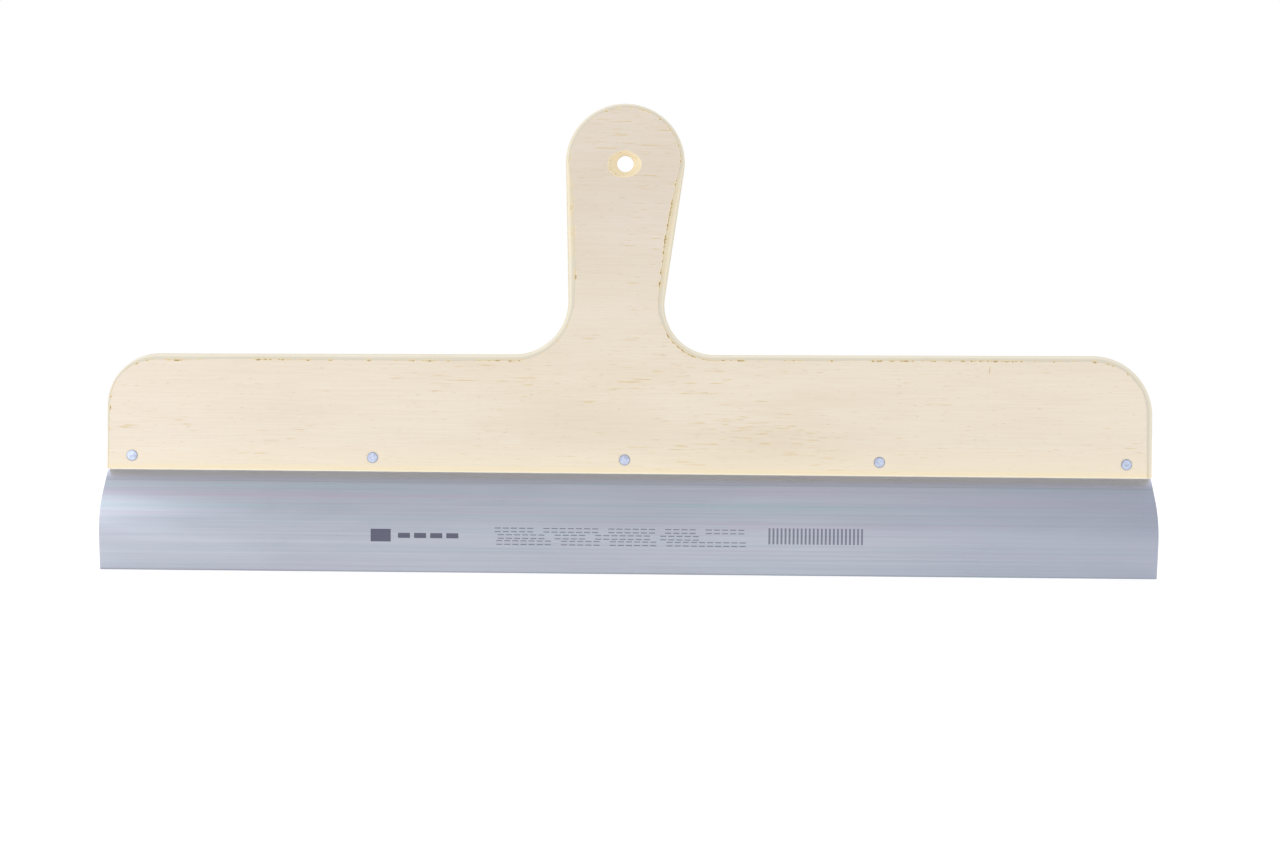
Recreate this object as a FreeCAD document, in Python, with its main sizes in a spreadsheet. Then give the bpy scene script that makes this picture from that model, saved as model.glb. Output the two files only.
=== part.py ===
import FreeCAD, Part

import math
import os

import Sketcher
from FreeCAD import Vector

# Drywall taping knife, in millimetres: a tee-shaped plywood handle with a wide spring-steel blade
# riveted into a saw kerf along its lower edge.
#
# Origin: the middle of the hanging hole, half way through the handle's thickness.
# +X runs along the blade, +Z points from the blade to the top of the grip, and -Y is the front,
# the side that the blade is rolled towards.

DIMENSIONS = {
    # handle outline, with heights measured from the lower edge
    "hole_height": 148.4,
    "board_width": 499.0,
    "board_shift": 3.4,
    "shoulder_height_left": 55.4,
    "shoulder_height_right": 58.3,
    "corner_radius_left": 24.8,
    "corner_radius_right": 28.6,
    "neck_radius_left": 25.7,
    "neck_radius_right": 23.8,
    "head_radius": 28.4,
    "grip_lean_left": 1.6,
    "grip_lean_right": 8.1,
    # handle thickness, edges and plies
    "board_thickness": 9.0,
    "roundover_radius": 2.2,
    "face_ply": 1.5,
    "cross_ply": 2.0,
    "kerf_depth": 13.0,
    # hanging hole
    "hole_radius": 4.0,
    "countersink_depth": 3.6,
    # blade
    "blade_width": 500.0,
    "blade_thickness": 0.7,
    "bend_radius": 2.0,
    "ramp_angle": 32.0,
    "ramp_length": 11.3,
    "roll_radius": 32.0,
    "tip_angle": 6.5,
    "blade_reach": 47.3,
    # rivets, with places measured from the middle of the lower edge
    "rivet_height": 6.6,
    "shank_radius": 2.0,
    "rivet_head_radius": 2.6,
    "rivet_head_depth": 0.6,
    "rivet_crown": 0.15,
    "rivet_x_1": -237.1,
    "rivet_x_2": -122.5,
    "rivet_x_3": -2.4,
    "rivet_x_4": 119.1,
    "rivet_x_5": 236.9,
}
RIVET_COUNT = 5
TOUCHING = 1e-6
START, END, CENTRE = 1, 2, 3
ORIGIN_POINT = (-1, 1)

doc = FreeCAD.newDocument("taping_knife")
sheet = doc.addObject("Spreadsheet::Sheet", "dims")


def fill_sheet():
    for row, (name, value) in enumerate(DIMENSIONS.items(), start=1):
        sheet.set(f"A{row}", name)
        sheet.set(f"B{row}", str(value))
        sheet.setAlias(f"B{row}", name)
    doc.recompute()


def size(name):
    return float(sheet.get(name))


def add_body(name):
    body = doc.addObject("PartDesign::Body", name)
    body.Label = name
    return body


def add_sketch(body, name, plane):
    sketch = body.newObject("Sketcher::SketchObject", name)
    support = [item for item in body.Origin.OriginFeatures if item.Role == plane][0]
    sketch.AttachmentSupport = (support, [""])
    sketch.MapMode = "FlatFace"
    return sketch


def constrain(sketch, name, expression, kind, *where):
    """Adds a constraint and binds its value to the spreadsheet."""
    index = sketch.addConstraint(Sketcher.Constraint(kind, *where))
    sketch.renameConstraint(index, name)
    sketch.setExpression(f"Constraints.{name}", expression)


def add_line(sketch, start, end):
    """Adds a line and returns its two ends, in the order that they were given."""
    index = sketch.addGeometry(Part.LineSegment(start, end), False)
    return (index, START), (index, END)


def add_arc(sketch, centre, radius, first_deg, turn_deg):
    """Adds an arc from first_deg through turn_deg and returns its two ends, in that order."""
    low, high = sorted((first_deg, first_deg + turn_deg))
    circle = Part.Circle(centre, Vector(0, 0, 1), radius)
    arc = Part.ArcOfCircle(circle, math.radians(low), math.radians(high))
    index = sketch.addGeometry(arc, False)
    ends = (index, START), (index, END)
    return ends if turn_deg > 0 else ends[::-1]


def polar(centre, radius, degrees):
    angle = math.radians(degrees)
    return centre + Vector(math.cos(angle), math.sin(angle), 0) * radius


def join(sketch, pieces, smooth):
    """Joins each piece's end to the next one's start, tangentially where smooth says so."""
    for (_, end), (start, _), tangent in zip(pieces, pieces[1:] + pieces[:1], smooth):
        kind = "Tangent" if tangent else "Coincident"
        sketch.addConstraint(Sketcher.Constraint(kind, *end, *start))


def draw_rectangle(sketch, corners):
    """Draws lines 0 to 3 through corners given from the lower left by the lower right."""
    sides = [add_line(sketch, a, b) for a, b in zip(corners, corners[1:] + corners[:1])]
    join(sketch, sides, [False] * len(sides))
    for side in (0, 2):
        sketch.addConstraint(Sketcher.Constraint("Horizontal", side))
    for side in (1, 3):
        sketch.addConstraint(Sketcher.Constraint("Vertical", side))


def line_crossing(point, direction, other_point, other_direction):
    gap = other_point - point
    scale = gap.x * other_direction.y - gap.y * other_direction.x
    scale /= direction.x * other_direction.y - direction.y * other_direction.x
    return point + direction * scale


def heading(degrees):
    return polar(Vector(0, 0, 0), 1, degrees)


def arc_centre(corner, heading_in, heading_out, radius, side):
    """Centre of the arc that rounds a corner: side is 1 for a left turn and -1 for a right turn."""
    inner_in = corner + heading(heading_in + 90) * radius * side
    inner_out = corner + heading(heading_out + 90) * radius * side
    return line_crossing(inner_in, heading(heading_in), inner_out, heading(heading_out))


def board_limits():
    """Left, right and lower limits of the tee."""
    half_width = size("board_width") / 2
    return size("board_shift") - half_width, size("board_shift") + half_width, -size("hole_height")


def outline_arcs():
    """The outline's arcs by name: centre, radius, first angle and turn, with angles in degrees."""
    left, right, lower = board_limits()
    top_left = Vector(left, lower + size("shoulder_height_left"), 0)
    top_right = Vector(right, lower + size("shoulder_height_right"), 0)
    slope = math.degrees(math.atan2(top_right.y - top_left.y, right - left))
    middle = Vector(0, 0, 0)
    head = size("head_radius")
    up_right = 90 - size("grip_lean_right")
    up_left = 90 + size("grip_lean_left")
    head_right = polar(middle, head, up_right - 90)
    head_left = polar(middle, head, up_left + 90)
    corner_right, corner_left = size("corner_radius_right"), size("corner_radius_left")
    neck_right, neck_left = size("neck_radius_right"), size("neck_radius_left")
    foot_right = line_crossing(head_right, heading(up_right), top_right, heading(slope))
    foot_left = line_crossing(head_left, heading(up_left), top_left, heading(slope))
    centre_right = arc_centre(top_right, 90, 180 + slope, corner_right, 1)
    hollow_right = arc_centre(foot_right, 180 + slope, up_right, neck_right, -1)
    hollow_left = arc_centre(foot_left, 180 + up_left, 180 + slope, neck_left, -1)
    centre_left = arc_centre(top_left, 180 + slope, 270, corner_left, 1)
    return {
        "corner_right": (centre_right, corner_right, 0, 90 + slope),
        "neck_right": (hollow_right, neck_right, 270 + slope, up_right - 180 - slope),
        "head": (middle, head, up_right - 90, 180 + up_left - up_right),
        "neck_left": (hollow_left, neck_left, up_left - 90, slope - up_left),
        "corner_left": (centre_left, corner_left, 90 + slope, 90 - slope),
    }


def draw_board_outline(sketch):
    """The tee, drawn round from the lower left corner by the right-hand side."""
    left, right, lower = board_limits()
    bottom_left, bottom_right = Vector(left, lower, 0), Vector(right, lower, 0)
    pieces = {"bottom": add_line(sketch, bottom_left, bottom_right)}
    line_names = ["side_right", "top_of_right", "grip_right", "grip_left", "top_of_left", "side_left"]
    last = bottom_right
    for line_name, (arc_name, arc) in zip(line_names, outline_arcs().items()):
        centre, radius, first, turn = arc
        pieces[line_name] = add_line(sketch, last, polar(centre, radius, first))
        pieces[arc_name] = add_arc(sketch, *arc)
        last = polar(centre, radius, first + turn)
    pieces["side_left"] = add_line(sketch, last, bottom_left)
    join(sketch, list(pieces.values()), [False] + [True] * 10 + [False])
    constrain_board_outline(sketch, pieces)


def constrain_board_outline(sketch, pieces):
    left, right, lower = board_limits()
    index = {name: ends[0][0] for name, ends in pieces.items()}
    bottom = pieces["bottom"]
    sketch.addConstraint(Sketcher.Constraint("Horizontal", index["bottom"]))
    sketch.addConstraint(Sketcher.Constraint("Vertical", index["side_right"]))
    sketch.addConstraint(Sketcher.Constraint("Vertical", index["side_left"]))
    sketch.addConstraint(Sketcher.Constraint("Coincident", index["head"], CENTRE, *ORIGIN_POINT))
    sketch.addConstraint(Sketcher.Constraint("Tangent", index["top_of_right"], index["top_of_left"]))
    for radius, arc in (
        ("corner_radius_right", "corner_right"),
        ("neck_radius_right", "neck_right"),
        ("head_radius", "head"),
        ("neck_radius_left", "neck_left"),
        ("corner_radius_left", "corner_left"),
    ):
        constrain(sketch, radius, f"dims.{radius}", "Radius", index[arc], size(radius))
    constrain(
        sketch, "below", "dims.hole_height", "DistanceY", *bottom[0], *ORIGIN_POINT, -lower
    )
    constrain(
        sketch, "reach_left", "dims.board_width / 2 - dims.board_shift",
        "DistanceX", *bottom[0], *ORIGIN_POINT, -left,
    )
    constrain(
        sketch, "reach_right", "dims.board_width / 2 + dims.board_shift",
        "DistanceX", *ORIGIN_POINT, *bottom[1], right,
    )
    for side, tangent_point in (("left", pieces["corner_left"][0]), ("right", pieces["corner_right"][1])):
        height = size(f"shoulder_height_{side}")
        constrain(
            sketch, f"shoulder_{side}", f"dims.shoulder_height_{side}",
            "DistanceY", *bottom[0], *tangent_point, height,
        )
    constrain(
        sketch, "lean_right", "90 - dims.grip_lean_right",
        "Angle", index["grip_right"], math.radians(90 - size("grip_lean_right")),
    )
    constrain(
        sketch, "lean_left", "dims.grip_lean_left - 90",
        "Angle", index["grip_left"], math.radians(size("grip_lean_left") - 90),
    )


def add_board():
    """The whole glued board, before it is parted into its plies."""
    board = add_body("board")
    outline = add_sketch(board, "board_outline", "XZ_Plane")
    draw_board_outline(outline)
    pad = board.newObject("PartDesign::Pad", "board_pad")
    pad.Profile = outline
    pad.SideType = "Symmetric"
    pad.setExpression("Length", "dims.board_thickness")
    doc.recompute()
    round_over(board, pad)
    cut_hanging_hole(board)
    cut_kerf(board)
    return board


def round_over(board, pad):
    """Rounds both faces' outlines. The lower edge, where the blade comes out, stays square."""
    half = size("board_thickness") / 2
    lower = -size("hole_height")
    names = []
    for number, edge in enumerate(pad.Shape.Edges, start=1):
        box = edge.BoundBox
        on_face = box.YLength < TOUCHING and abs(abs(box.YMin) - half) < TOUCHING
        if on_face and box.ZMax > lower + TOUCHING:
            names.append(f"Edge{number}")
    fillet = board.newObject("PartDesign::Fillet", "board_roundover")
    fillet.Base = (pad, names)
    fillet.setExpression("Radius", "dims.roundover_radius")
    doc.recompute()


def cut_hanging_hole(board):
    """A bore countersunk from both faces, cut as half a section turned about the Y axis."""
    half = size("board_thickness") / 2
    bore = size("hole_radius")
    land = half - size("countersink_depth")
    mouth = bore + size("countersink_depth")
    points = [
        Vector(0, -half, 0),
        Vector(mouth, -half, 0),
        Vector(bore, -land, 0),
        Vector(bore, land, 0),
        Vector(mouth, half, 0),
        Vector(0, half, 0),
    ]
    sketch = add_sketch(board, "hole_section", "XY_Plane")
    sides = [add_line(sketch, a, b) for a, b in zip(points, points[1:] + points[:1])]
    join(sketch, sides, [False] * len(sides))
    for side in (0, 4):
        sketch.addConstraint(Sketcher.Constraint("Horizontal", side))
    sketch.addConstraint(Sketcher.Constraint("Vertical", 2))
    sketch.addConstraint(Sketcher.Constraint("PointOnObject", 0, START, -2))
    sketch.addConstraint(Sketcher.Constraint("PointOnObject", 4, END, -2))
    constrain(sketch, "front", "dims.board_thickness / 2", "DistanceY", 0, START, *ORIGIN_POINT, half)
    constrain(sketch, "back", "dims.board_thickness / 2", "DistanceY", *ORIGIN_POINT, 4, END, half)
    constrain(sketch, "bore", "dims.hole_radius", "DistanceX", *ORIGIN_POINT, 2, START, bore)
    for name, line in (("sink_front", 1), ("sink_back", 3)):
        constrain(
            sketch, f"{name}_depth", "dims.countersink_depth",
            "DistanceY", line, START, line, END, size("countersink_depth"),
        )
    constrain(
        sketch, "mouth_front", "dims.hole_radius + dims.countersink_depth",
        "DistanceX", *ORIGIN_POINT, 0, END, mouth,
    )
    constrain(
        sketch, "mouth_back", "dims.hole_radius + dims.countersink_depth",
        "DistanceX", *ORIGIN_POINT, 4, START, mouth,
    )
    groove = board.newObject("PartDesign::Groove", "hanging_hole")
    groove.Profile = sketch
    groove.ReferenceAxis = (sketch, ["V_Axis"])
    groove.Angle = 360
    doc.recompute()


def cut_kerf(board):
    """The saw kerf along the lower edge, as thick as the blade and open at both ends."""
    lower = -size("hole_height")
    top = lower + size("kerf_depth")
    middle = size("board_shift")
    reach = size("blade_width") / 2
    corners = [
        Vector(middle - reach, lower, 0),
        Vector(middle + reach, lower, 0),
        Vector(middle + reach, top, 0),
        Vector(middle - reach, top, 0),
    ]
    sketch = add_sketch(board, "kerf_side", "XZ_Plane")
    draw_rectangle(sketch, corners)
    constrain(sketch, "below", "dims.hole_height", "DistanceY", 0, START, *ORIGIN_POINT, -lower)
    constrain(sketch, "depth", "dims.kerf_depth", "DistanceY", 1, START, 1, END, top - lower)
    constrain(
        sketch, "reach_left", "dims.blade_width / 2 - dims.board_shift",
        "DistanceX", 0, START, *ORIGIN_POINT, reach - middle,
    )
    constrain(
        sketch, "reach_right", "dims.blade_width / 2 + dims.board_shift",
        "DistanceX", *ORIGIN_POINT, 0, END, reach + middle,
    )
    pocket = board.newObject("PartDesign::Pocket", "kerf")
    pocket.Profile = sketch
    pocket.SideType = "Symmetric"
    pocket.setExpression("Length", "dims.blade_thickness")
    doc.recompute()


def draw_blade_path(path):
    """The sheet's middle line, down from the kerf: a tight bend, a ramp, a roll and a straight lip."""
    bend = size("bend_radius")
    roll = size("roll_radius")
    ramp_angle = size("ramp_angle")
    tip_angle = size("tip_angle")
    kerf_top = Vector(0, size("kerf_depth"), 0)
    bend_centre = Vector(-bend, 0, 0)
    ramp_start = polar(bend_centre, bend, -ramp_angle)
    ramp_end = ramp_start + heading(270 - ramp_angle) * size("ramp_length")
    roll_centre = ramp_end + heading(-ramp_angle) * roll
    roll_end = polar(roll_centre, roll, 180 + tip_angle)
    drop = roll_end.y + size("blade_reach")
    tip = roll_end + heading(270 + tip_angle) * (drop / math.cos(math.radians(tip_angle)))

    root = add_line(path, kerf_top, Vector(0, 0, 0))
    bend_arc = add_arc(path, bend_centre, bend, 0, -ramp_angle)
    ramp = add_line(path, ramp_start, ramp_end)
    roll_arc = add_arc(path, roll_centre, roll, 180 - ramp_angle, ramp_angle + tip_angle)
    lip = add_line(path, roll_end, tip)
    for (_, end), (start, _) in zip((root, bend_arc, ramp, roll_arc), (bend_arc, ramp, roll_arc, lip)):
        path.addConstraint(Sketcher.Constraint("Tangent", *end, *start))
    path.addConstraint(Sketcher.Constraint("Coincident", *root[1], *ORIGIN_POINT))
    path.addConstraint(Sketcher.Constraint("Vertical", root[0][0]))
    constrain(path, "kerf", "dims.kerf_depth", "DistanceY", *ORIGIN_POINT, *root[0], kerf_top.y)
    constrain(path, "bend", "dims.bend_radius", "Radius", bend_arc[0][0], bend)
    constrain(path, "ramp_length", "dims.ramp_length", "Distance", ramp[0][0], size("ramp_length"))
    constrain(
        path, "ramp_angle", "-90 - dims.ramp_angle", "Angle", ramp[0][0], math.radians(-90 - ramp_angle)
    )
    constrain(path, "roll", "dims.roll_radius", "Radius", roll_arc[0][0], roll)
    constrain(
        path, "tip_angle", "dims.tip_angle - 90", "Angle", lip[0][0], math.radians(tip_angle - 90)
    )
    constrain(path, "reach", "dims.blade_reach", "DistanceY", *lip[1], *ORIGIN_POINT, -tip.y)


def draw_blade_section(section):
    half_width = size("blade_width") / 2
    half = size("blade_thickness") / 2
    corners = [
        Vector(-half_width, -half, 0),
        Vector(half_width, -half, 0),
        Vector(half_width, half, 0),
        Vector(-half_width, half, 0),
    ]
    draw_rectangle(section, corners)
    section.addConstraint(Sketcher.Constraint("Symmetric", 0, START, 2, START, *ORIGIN_POINT))
    constrain(section, "width", "dims.blade_width", "DistanceX", 0, START, 0, END, 2 * half_width)
    constrain(section, "thickness", "dims.blade_thickness", "DistanceY", 1, START, 1, END, 2 * half)


def add_blade():
    """The sheet, swept down from the kerf. Its own origin is the middle of the handle's lower edge."""
    blade = add_body("blade_sheet")
    path = add_sketch(blade, "blade_path", "YZ_Plane")
    draw_blade_path(path)
    section = add_sketch(blade, "blade_section", "XY_Plane")
    section.setExpression(".AttachmentOffset.Base.z", "dims.kerf_depth")
    draw_blade_section(section)
    doc.recompute()
    sweep = blade.newObject("PartDesign::AdditivePipe", "blade_sweep")
    sweep.Profile = section
    sweep.Spine = (path, [f"Edge{number}" for number in range(1, 6)])
    blade.setExpression(".Placement.Base.x", "dims.board_shift")
    blade.setExpression(".Placement.Base.z", "-dims.hole_height")
    doc.recompute()
    return blade


def draw_rivet_section(sketch):
    """Half of the rivet's section, from its axis at the front round by the shank to the back."""
    half = size("board_thickness") / 2
    shank = size("shank_radius")
    head = size("rivet_head_radius")
    neck = half - size("rivet_head_depth")
    rise = size("rivet_crown")
    crown = half + rise
    dome = (head**2 + rise**2) / (2 * rise)
    dome_turn = math.degrees(math.asin(head / dome))

    axis = add_line(sketch, Vector(0, crown, 0), Vector(0, -crown, 0))
    front_dome = add_arc(sketch, Vector(0, dome - crown, 0), dome, 270, dome_turn)
    front_head = add_line(sketch, Vector(head, -half, 0), Vector(shank, -neck, 0))
    shank_side = add_line(sketch, Vector(shank, -neck, 0), Vector(shank, neck, 0))
    back_head = add_line(sketch, Vector(shank, neck, 0), Vector(head, half, 0))
    back_dome = add_arc(sketch, Vector(0, crown - dome, 0), dome, 90 - dome_turn, dome_turn)
    join(sketch, [axis, front_dome, front_head, shank_side, back_head, back_dome], [False] * 6)
    sketch.addConstraint(Sketcher.Constraint("Vertical", axis[0][0]))
    sketch.addConstraint(Sketcher.Constraint("Symmetric", *axis[0], *axis[1], *ORIGIN_POINT))
    sketch.addConstraint(Sketcher.Constraint("Vertical", shank_side[0][0]))
    constrain(sketch, "shank", "dims.shank_radius", "DistanceX", *ORIGIN_POINT, *shank_side[0], shank)
    constrain(
        sketch, "crown", "dims.board_thickness + 2 * dims.rivet_crown",
        "Distance", axis[0][0], 2 * crown,
    )
    constrain_rivet_head(sketch, "front", front_dome, *front_head)
    constrain_rivet_head(sketch, "back", back_dome, *reversed(back_head))


def constrain_rivet_head(sketch, name, dome, rim, neck):
    """Heights run upward in the sketch: from the rim to the middle in front, the other way behind."""
    order = 1 if name == "front" else -1
    half = size("board_thickness") / 2
    head = size("rivet_head_radius")
    face_points = [rim, ORIGIN_POINT][::order]
    neck_points = [rim, neck][::order]
    sketch.addConstraint(Sketcher.Constraint("PointOnObject", dome[0][0], CENTRE, -2))
    constrain(
        sketch, f"{name}_face", "dims.board_thickness / 2",
        "DistanceY", *face_points[0], *face_points[1], half,
    )
    constrain(
        sketch, f"{name}_head", "dims.rivet_head_radius", "DistanceX", *ORIGIN_POINT, *rim, head
    )
    constrain(
        sketch, f"{name}_depth", "dims.rivet_head_depth",
        "DistanceY", *neck_points[0], *neck_points[1], size("rivet_head_depth"),
    )


def add_rivet(number):
    """A solid rivet with a small flush head at each face, turned about its own Y axis."""
    rivet = add_body(f"rivet_{number}")
    sketch = add_sketch(rivet, f"rivet_section_{number}", "XY_Plane")
    draw_rivet_section(sketch)
    turned = rivet.newObject("PartDesign::Revolution", f"rivet_turned_{number}")
    turned.Profile = sketch
    turned.ReferenceAxis = (sketch, ["V_Axis"])
    turned.Angle = 360
    rivet.setExpression(".Placement.Base.x", f"dims.board_shift + dims.rivet_x_{number}")
    rivet.setExpression(".Placement.Base.z", "dims.rivet_height - dims.hole_height")
    doc.recompute()
    return rivet


def drilled(name, body, rivets):
    """The piece with its rivet holes, which the rivets fill."""
    cut = doc.addObject("Part::Cut", name)
    cut.Label = name
    cut.Base = body
    cut.Tool = rivets
    return cut


def add_ply(name, board, low, high):
    """One sheet of the board: the part of it between two depths, given as expressions of Y."""
    slab = doc.addObject("Part::Box", f"{name}_slab")
    slab.setExpression("Length", "dims.board_width")
    slab.setExpression("Width", f"({high}) - ({low})")
    slab.setExpression("Height", "dims.hole_height + dims.head_radius")
    slab.setExpression(".Placement.Base.x", "dims.board_shift - dims.board_width / 2")
    slab.setExpression(".Placement.Base.y", low)
    slab.setExpression(".Placement.Base.z", "-dims.hole_height")
    ply = doc.addObject("Part::Common", name)
    ply.Label = name
    ply.Base = board
    ply.Tool = slab
    return ply


def add_plies(board):
    """Five plies from front to back: face veneers and core with the grain along X, crossbands along Z."""
    face = "dims.board_thickness / 2"
    band = f"{face} - dims.face_ply"
    core = f"{band} - dims.cross_ply"
    return [
        add_ply("front_face_veneer", board, f"-({face})", f"-({band})"),
        add_ply("front_crossband", board, f"-({band})", f"-({core})"),
        add_ply("core_ply", board, f"-({core})", core),
        add_ply("back_crossband", board, core, band),
        add_ply("back_face_veneer", board, band, face),
    ]


def check_document():
    for item in doc.Objects:
        if "Invalid" in item.State or "Error" in item.State:
            raise RuntimeError(f"{item.Label} failed: {item.State}")


def export(parts):
    os.makedirs("parts", exist_ok=True)
    for part in parts:
        shape = part.Shape
        if shape.isNull() or not shape.isValid() or len(shape.Solids) != 1:
            raise RuntimeError(f"{part.Label} has no single valid solid")
        box = shape.BoundBox
        print(
            f"{part.Label}: {shape.Volume:.1f} mm3, X {box.XMin:.2f} {box.XMax:.2f}, "
            f"Y {box.YMin:.2f} {box.YMax:.2f}, Z {box.ZMin:.2f} {box.ZMax:.2f}"
        )
        shape.exportStep(f"parts/{part.Label}.step")


def main():
    fill_sheet()
    rivets = [add_rivet(number) for number in range(1, RIVET_COUNT + 1)]
    rivet_set = doc.addObject("Part::MultiFuse", "rivet_set")
    rivet_set.Shapes = rivets
    board = drilled("board_drilled", add_board(), rivet_set)
    blade = drilled("blade", add_blade(), rivet_set)
    plies = add_plies(board)
    doc.recompute()
    check_document()
    export(plies + [blade] + rivets)


main()
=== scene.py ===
import math

import bmesh
import bpy
import numpy as np
from mathutils import Matrix, Vector
from mathutils.geometry import delaunay_2d_cdt


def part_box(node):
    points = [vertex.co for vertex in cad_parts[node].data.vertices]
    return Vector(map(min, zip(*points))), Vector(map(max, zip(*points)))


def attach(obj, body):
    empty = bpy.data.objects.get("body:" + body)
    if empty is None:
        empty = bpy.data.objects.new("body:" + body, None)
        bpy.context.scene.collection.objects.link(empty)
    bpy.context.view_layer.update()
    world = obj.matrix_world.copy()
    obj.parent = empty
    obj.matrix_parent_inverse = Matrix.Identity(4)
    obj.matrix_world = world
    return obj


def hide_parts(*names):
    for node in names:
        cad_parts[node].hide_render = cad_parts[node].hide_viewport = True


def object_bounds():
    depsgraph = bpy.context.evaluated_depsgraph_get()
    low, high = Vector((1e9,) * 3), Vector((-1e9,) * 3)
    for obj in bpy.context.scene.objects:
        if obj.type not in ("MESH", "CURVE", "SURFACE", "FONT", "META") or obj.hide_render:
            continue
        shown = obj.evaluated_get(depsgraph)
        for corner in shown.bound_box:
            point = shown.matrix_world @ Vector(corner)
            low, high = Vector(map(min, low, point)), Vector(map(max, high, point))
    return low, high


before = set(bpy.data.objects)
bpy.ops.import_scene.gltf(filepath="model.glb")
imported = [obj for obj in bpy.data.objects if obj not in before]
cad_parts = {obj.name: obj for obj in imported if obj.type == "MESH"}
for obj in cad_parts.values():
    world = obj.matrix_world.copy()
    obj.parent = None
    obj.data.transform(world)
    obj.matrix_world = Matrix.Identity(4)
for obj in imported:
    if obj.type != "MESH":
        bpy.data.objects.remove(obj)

# A drywall taping knife, in metres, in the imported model's own frame: X along the blade, Z up the grip
# and -Y to the front. The origin is the middle of the hanging hole. Every piece replaces the CAD node
# of the same name with a finer mesh of the same size.

BODY = "root"
CAD_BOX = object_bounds()

# Handle outline. Its overall size comes from the frame.
BOARD_LOW, BOARD_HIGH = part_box("core_ply")
LEFT, RIGHT = BOARD_LOW.x, BOARD_HIGH.x
LOWER, HEAD_RADIUS = BOARD_LOW.z, BOARD_HIGH.z
MIDDLE = (LEFT + RIGHT) / 2
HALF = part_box("back_face_veneer")[1].y
SHOULDER_LEFT = LOWER + 0.0554
SHOULDER_RIGHT = LOWER + 0.0583
CORNER_LEFT, CORNER_RIGHT = 0.0248, 0.0286
NECK_LEFT, NECK_RIGHT = 0.0257, 0.0238
LEAN_LEFT, LEAN_RIGHT = math.radians(1.6), math.radians(8.1)
FACE_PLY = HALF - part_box("back_crossband")[1].y
CORE_HALF = BOARD_HIGH.y

# Rounded edge: a cut run by hand, uneven in width, that starts with a small step in the face veneer
BAND_HEAD, BAND_GRIP = 0.0020, 0.0037
BAND_LEFT_SHOULDER, BAND_RIGHT_SHOULDER = 0.0030, 0.0026
BAND_LEFT_END, BAND_RIGHT_END = 0.0015, 0.0029
GRIP_MIDDLE, GRIP_REACH = -0.042, 0.042
NECK_START, NECK_BLEND = -0.070, 0.018
BAND_WANDER = 0.10
STEP_DEPTH = 0.00022
ROUND_DEPTH = 0.0020

# How much more the step is broken, from X to X and from Z to Z: the grip's right side, the right
# shoulder, the right of the head, the right neck, and short stretches of the left shoulder
CHIPPED = [
    (0.9, 0.0, 0.3, -0.062, -0.006),
    (0.9, 0.118, 0.190, -0.1, 0.1),
    (0.45, 0.006, 0.3, 0.008, 0.1),
    (0.5, 0.02, 0.06, -0.1, -0.080),
    (0.9, -0.218, -0.208, -0.1, 0.1),
    (0.9, -0.176, -0.150, -0.1, 0.1),
    (0.9, -0.105, -0.088, -0.1, 0.1),
    (0.9, -0.066, -0.048, -0.1, 0.1),
]
CHIPPED_EVERYWHERE = 0.10
BACK_CHIPS = 0.6
CHIPS = 330
CHIP_WIDTH = 0.00055

# How light the wood is on the edge's rings: painted shade on the step's line, painted light and shade
# across the veneer's rounded edge, darker glue lines at the crossband's and the core's joints with painted
# shade on the crossband between them, and painted light then shade down the countersink
STEP_LINE_PAINTED_SHADE = 0.83
BAND_PAINTED_LIGHT_AND_SHADE = ((0.12, 0.85), (0.28, 0.97), (0.48, 1.02), (0.72, 0.98), (1.0, 0.87))
CROSSBAND_GLUE_AND_PAINTED_SHADE = [0.85, 0.95, 0.97, 0.95, 0.86]
CORE_SHADES = [0.86, 1.0, 1.0, 0.86]
# Painted light near the countersink's mouth, then painted shade darkening it deeper down
SINK_PAINTED_LIGHT_AND_SHADE = [1.0, 1.0, 1.02, 1.01, 0.98, 0.95, 0.93]
SINK_WEAR = 0.30

# Middle and half length of the yellowed stretch on each side of the grip
TORN_LEFT, TORN_RIGHT = (-0.022, 0.028), (-0.034, 0.034)

# Hanging hole: its countersink is torn wider along the grain and stands off the bore's centre
BORE = 0.004
BORE_CHAMFER = 0.0001
SINK = 0.0036
SINK_SPREAD, SINK_SPREAD_ALONG = 0.72, 0.34
SINK_OFFSET = np.array([0.00005, -0.00085])
SINK_POINTS, BORE_POINTS = 128, 96
SINK_RIM = 0.0002

# Rivets
RIVETS = ["rivet_1", "rivet_2", "rivet_3", "rivet_4", "rivet_5"]
SHANK = 0.0020
RIVET_HEAD = (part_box("rivet_1")[1].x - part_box("rivet_1")[0].x) / 2
RIVET_HEAD_DEPTH = 0.0006
RIVET_GAP = 0.00001
RIVET_POINTS, RIVET_HOLE_POINTS, SHANK_HOLE_POINTS = 40, 48, 32
FACET_COUNT, FACET_DEPTH, FACET_REACH = 7, 0.00006, 0.26
EDGE_SINK = 0.00003
PRESS_DEPTH, PRESS_REACH = 0.00016, 0.0006

# Blade path
BLADE_LOW, BLADE_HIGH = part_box("blade")
KERF_DEPTH = BLADE_HIGH.z - LOWER
THICKNESS = 0.0007
BEND_RADIUS, ROLL_RADIUS = 0.002, 0.032
RAMP_ANGLE, TIP_ANGLE = math.radians(32), math.radians(6.5)
RAMP_LENGTH = 0.0113
GROUND_LENGTH = 0.0008
TIP_THICKNESS = 0.00035
BLADE_COLUMNS = 168
BROAD_WAVE, SHORT_WAVE, WAVE_START = 0.00006, 0.00002, 0.03
LEAST_WAVE = 0.00001

# A nick in the front face, and the clean strip of face beside its broken edge
NICK = (MIDDLE + 0.1713, LOWER + 0.0512)
NICK_HALF_LENGTH = 0.0021
NICK_LEAN = 0.00015
NICK_PROFILE = ((-0.00028, 0.0), (-0.00003, 0.0003), (0.00005, 0.0003), (0.00026, 0.0))
CLEAN_RIM = 0.0004

X_AXIS, Z_AXIS = 0, 2


# ---------------------------------------------------------------- noise along a line

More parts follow.
